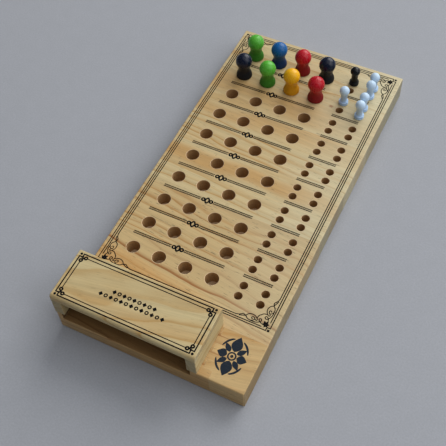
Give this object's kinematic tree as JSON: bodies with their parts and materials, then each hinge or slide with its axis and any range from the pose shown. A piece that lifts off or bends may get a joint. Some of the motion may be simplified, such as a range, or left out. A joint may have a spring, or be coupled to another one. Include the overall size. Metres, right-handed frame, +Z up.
{
  "type": "code-breaking peg board",
  "caption": "Pine board with rows of peg holes, a loose cover that hides the secret code at one end, and painted code pegs and key pegs standing in their holes.",
  "frame": {"origin": "on the table, under the middle of the panel", "axes": "+Z up, +Y along the panel from the cover towards the first guess, +X across it towards the key holes"},
  "size_m": [0.1415, 0.3, 0.0417],
  "materials": {
    "panel_wood": "sanded pine, clear matt lacquer",
    "cover_wood": "sanded pale pine, clear matt lacquer",
    "green_paint": "gloss paint on turned wood",
    "blue_paint": "gloss paint on turned wood",
    "red_paint": "gloss paint on turned wood",
    "yellow_paint": "gloss paint on turned wood",
    "navy_paint": "gloss paint on turned wood",
    "black_paint": "gloss paint on turned wood",
    "white_paint": "gloss paint on turned wood",
    "printed_ink": "matt black print on wood",
    "blue_ink": "matt dark blue print on wood"
  },
  "bodies": {
    "panel": {"stave_front_left": "panel_wood", "stave_front_right": "panel_wood", "stave_2": "panel_wood", "stave_3": "panel_wood", "stave_4": "panel_wood", "stave_5": "panel_wood", "stave_6": "panel_wood", "stave_7": "panel_wood"},
    "cover": {"cover_top": "cover_wood", "cover_left_cheek": "cover_wood", "cover_right_cheek": "cover_wood", "cover_back": "cover_wood"},
    "guess_1_code_peg_1_green": {"guess_1_code_peg_1_green": "green_paint"},
    "guess_1_code_peg_2_blue": {"guess_1_code_peg_2_blue": "blue_paint"},
    "guess_1_code_peg_3_red": {"guess_1_code_peg_3_red": "red_paint"},
    "guess_1_code_peg_4_navy": {"guess_1_code_peg_4_navy": "navy_paint"},
    "guess_1_key_peg_1_black": {"guess_1_key_peg_1_black": "black_paint"},
    "guess_1_key_peg_2_white": {"guess_1_key_peg_2_white": "white_paint"},
    "guess_1_key_peg_3_white": {"guess_1_key_peg_3_white": "white_paint"},
    "guess_2_code_peg_1_navy": {"guess_2_code_peg_1_navy": "navy_paint"},
    "guess_2_code_peg_2_green": {"guess_2_code_peg_2_green": "green_paint"},
    "guess_2_code_peg_3_yellow": {"guess_2_code_peg_3_yellow": "yellow_paint"},
    "guess_2_code_peg_4_red": {"guess_2_code_peg_4_red": "red_paint"},
    "guess_2_key_peg_1_white": {"guess_2_key_peg_1_white": "white_paint"},
    "guess_2_key_peg_2_white": {"guess_2_key_peg_2_white": "white_paint"},
    "guess_2_key_peg_3_white": {"guess_2_key_peg_3_white": "white_paint"}
  },
  "joints": [
    {"name": "cover_lift", "type": "slide", "parent": "panel", "child": "cover", "axis": [0, 0, 1], "range_m": [0, 0.05]},
    {"name": "guess_1_code_peg_1_green_lift", "type": "slide", "parent": "panel", "child": "guess_1_code_peg_1_green", "axis": [0, 0, 1], "range_m": [0, 0.03]},
    {"name": "guess_1_code_peg_2_blue_lift", "type": "slide", "parent": "panel", "child": "guess_1_code_peg_2_blue", "axis": [0, 0, 1], "range_m": [0, 0.03]},
    {"name": "guess_1_code_peg_3_red_lift", "type": "slide", "parent": "panel", "child": "guess_1_code_peg_3_red", "axis": [0, 0, 1], "range_m": [0, 0.03]},
    {"name": "guess_1_code_peg_4_navy_lift", "type": "slide", "parent": "panel", "child": "guess_1_code_peg_4_navy", "axis": [0, 0, 1], "range_m": [0, 0.03]},
    {"name": "guess_1_key_peg_1_black_lift", "type": "slide", "parent": "panel", "child": "guess_1_key_peg_1_black", "axis": [0, 0, 1], "range_m": [0, 0.025]},
    {"name": "guess_1_key_peg_2_white_lift", "type": "slide", "parent": "panel", "child": "guess_1_key_peg_2_white", "axis": [0, 0, 1], "range_m": [0, 0.025]},
    {"name": "guess_1_key_peg_3_white_lift", "type": "slide", "parent": "panel", "child": "guess_1_key_peg_3_white", "axis": [0, 0, 1], "range_m": [0, 0.025]},
    {"name": "guess_2_code_peg_1_navy_lift", "type": "slide", "parent": "panel", "child": "guess_2_code_peg_1_navy", "axis": [0, 0, 1], "range_m": [0, 0.03]},
    {"name": "guess_2_code_peg_2_green_lift", "type": "slide", "parent": "panel", "child": "guess_2_code_peg_2_green", "axis": [0, 0, 1], "range_m": [0, 0.03]},
    {"name": "guess_2_code_peg_3_yellow_lift", "type": "slide", "parent": "panel", "child": "guess_2_code_peg_3_yellow", "axis": [0, 0, 1], "range_m": [0, 0.03]},
    {"name": "guess_2_code_peg_4_red_lift", "type": "slide", "parent": "panel", "child": "guess_2_code_peg_4_red", "axis": [0, 0, 1], "range_m": [0, 0.03]},
    {"name": "guess_2_key_peg_1_white_lift", "type": "slide", "parent": "panel", "child": "guess_2_key_peg_1_white", "axis": [0, 0, 1], "range_m": [0, 0.025]},
    {"name": "guess_2_key_peg_2_white_lift", "type": "slide", "parent": "panel", "child": "guess_2_key_peg_2_white", "axis": [0, 0, 1], "range_m": [0, 0.025]},
    {"name": "guess_2_key_peg_3_white_lift", "type": "slide", "parent": "panel", "child": "guess_2_key_peg_3_white", "axis": [0, 0, 1], "range_m": [0, 0.025]}
  ]
}
